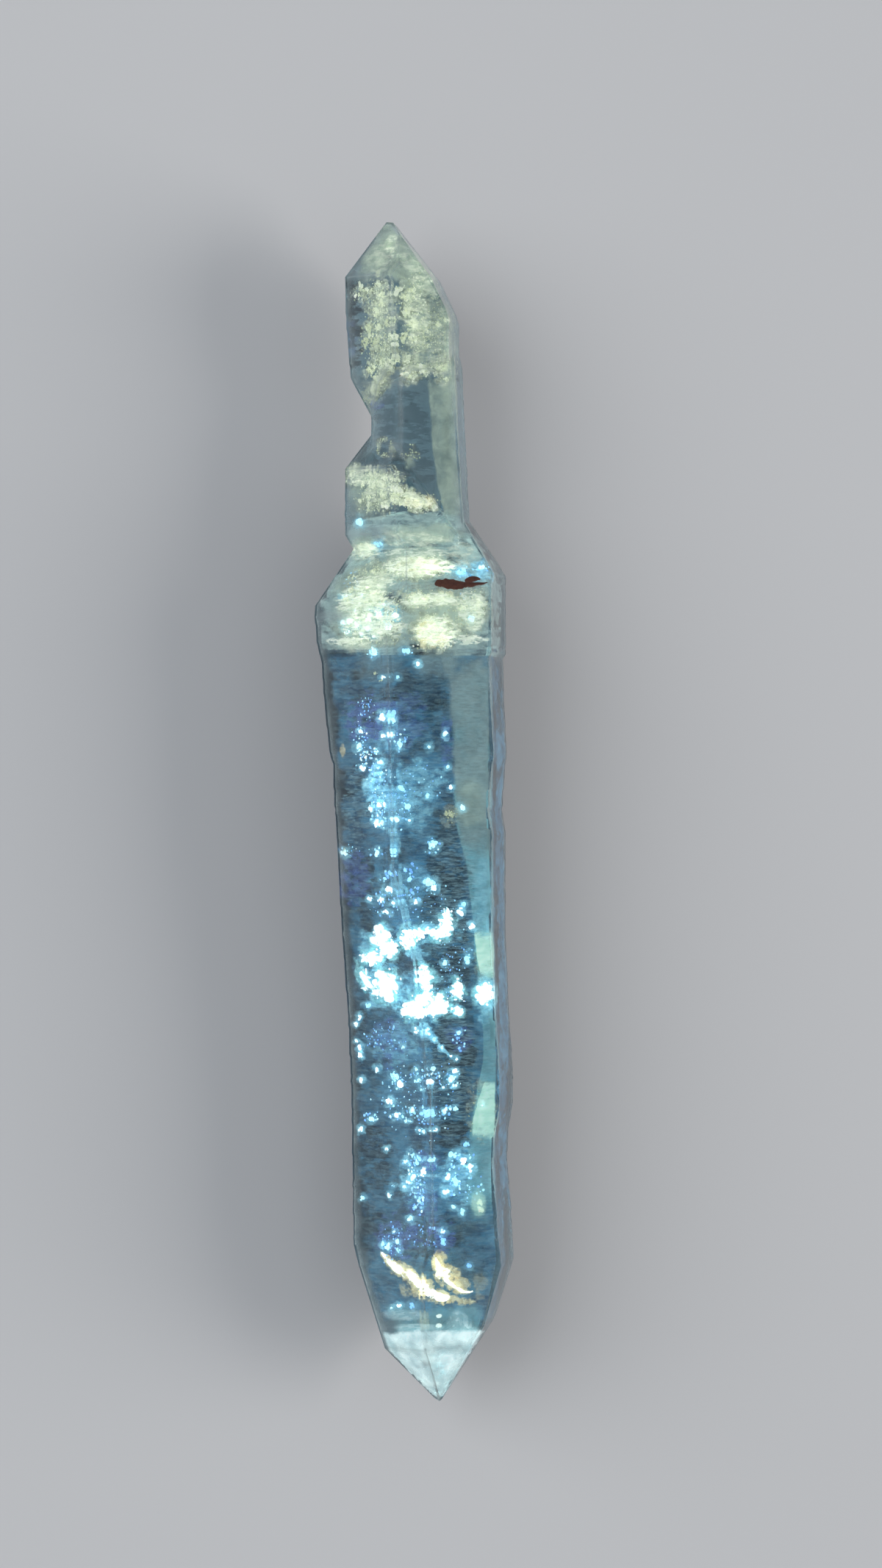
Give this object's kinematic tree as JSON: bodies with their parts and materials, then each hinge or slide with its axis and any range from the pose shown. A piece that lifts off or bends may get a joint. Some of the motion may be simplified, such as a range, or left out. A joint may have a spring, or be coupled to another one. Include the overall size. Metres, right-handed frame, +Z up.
{
  "type": "petroleum quartz crystal",
  "caption": "Long doubly terminated quartz crystal with a stepped, notched head end and a tapered lower point, clear with glowing petroleum inclusions, lying on a prism face.",
  "frame": {"origin": "middle of the bounding box in X and Y, on the surface that the crystal lies on", "axes": "+Y along the crystal's long axis (the quartz c axis) towards the notched head, +Z up, away from the prism face that it lies on"},
  "size_m": [0.0076, 0.042, 0.0064],
  "materials": {
    "quartz": "natural crystal faces, glossy with fine growth lines, frosted on the lower point and the bevelled band",
    "petroleum_blue": "oil-filled cavities that glow cyan to white under ultraviolet light",
    "petroleum_cream": "oil-stained growth skins that glow cream under ultraviolet light",
    "milky_quartz": "cloudy quartz full of tiny cavities, pale and soft, in the lower point and in faint veils",
    "bitumen": "dull red-brown solid inclusion"
  },
  "bodies": {
    "root": {"quartz_crystal": "quartz"}
  },
  "joints": []
}
